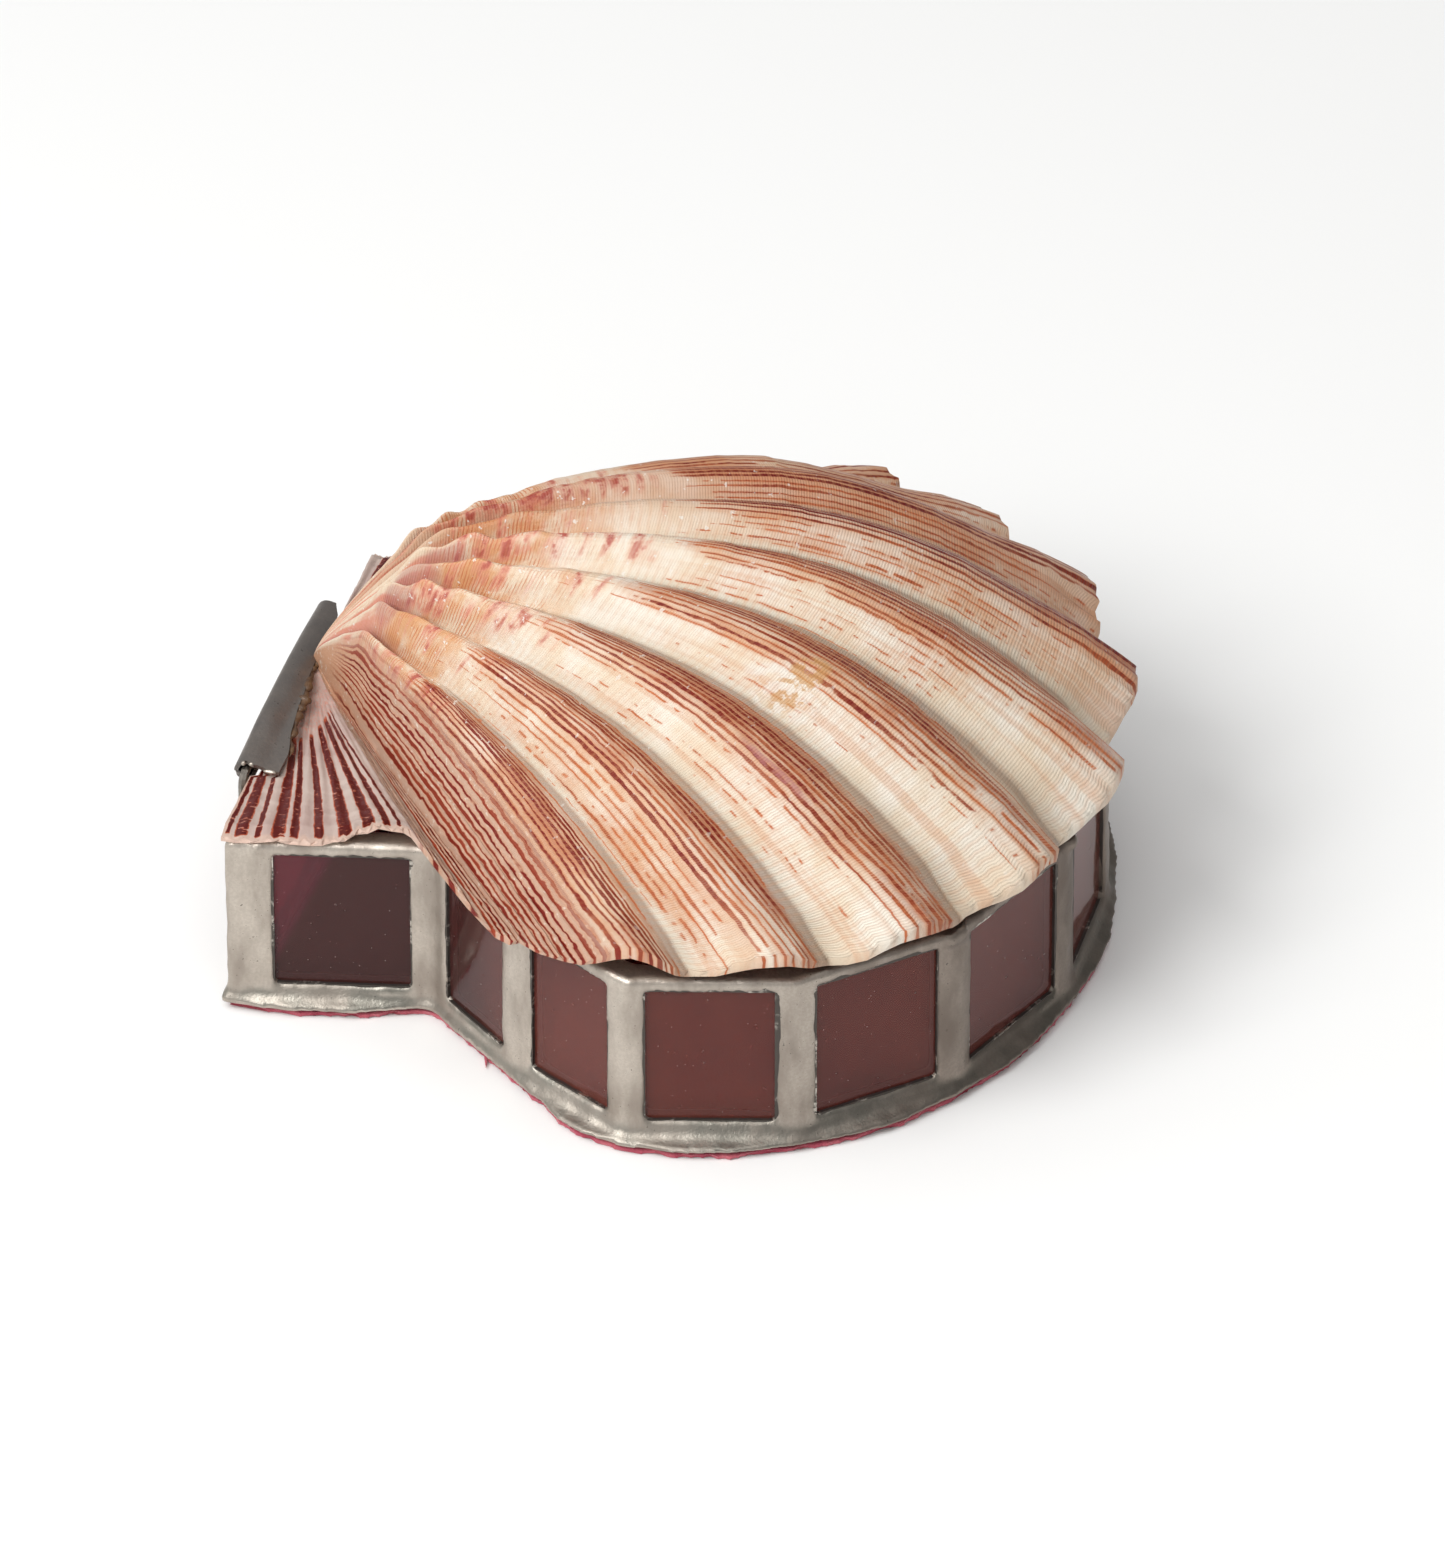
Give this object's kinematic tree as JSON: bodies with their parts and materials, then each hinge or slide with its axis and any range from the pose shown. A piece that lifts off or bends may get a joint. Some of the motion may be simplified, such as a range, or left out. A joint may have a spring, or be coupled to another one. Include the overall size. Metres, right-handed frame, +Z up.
{
  "type": "glass trinket box",
  "caption": "Low trinket box with upright plum glass panes in a solder frame, felt under its base and a ribbed scallop shell as a hinged lid.",
  "frame": {"origin": "middle of the underside of the whole box's bounding box", "axes": "+Z up, +Y towards the hinge at the back, -Y towards the fan of panes at the front"},
  "size_m": [0.1186, 0.1192, 0.0634],
  "materials": {
    "shell": "satin, cream with red-brown lines",
    "solder": "satin solder with dimples",
    "plum_glass": "clear dark plum",
    "base_glass": "clear dark plum",
    "felt": "matte pink-red felt",
    "sheet_metal": "satin grey sheet",
    "wire": "satin wire"
  },
  "bodies": {
    "box": {"felt_pad": "felt", "base_glass": "base_glass", "solder_frame": "solder", "pane_ear_near": "plum_glass", "pane_fan_01": "plum_glass", "pane_fan_02": "plum_glass", "pane_fan_03": "plum_glass", "pane_fan_04": "plum_glass", "pane_fan_05": "plum_glass", "pane_fan_06": "plum_glass", "pane_fan_07": "plum_glass", "pane_fan_08": "plum_glass", "pane_fan_09": "plum_glass", "pane_fan_10": "plum_glass", "pane_fan_11": "plum_glass", "pane_fan_12": "plum_glass", "pane_ear_far": "plum_glass", "pane_back": "plum_glass", "hinge_wire": "wire"},
    "lid": {"shell_lid": "shell", "hinge_sleeve": "sheet_metal"}
  },
  "joints": [
    {"name": "lid_hinge", "type": "hinge", "parent": "box", "child": "lid", "pos_m": [0, 0.05775, 0.031], "axis": [-1, 0, 0], "range_deg": [0, 105]}
  ]
}
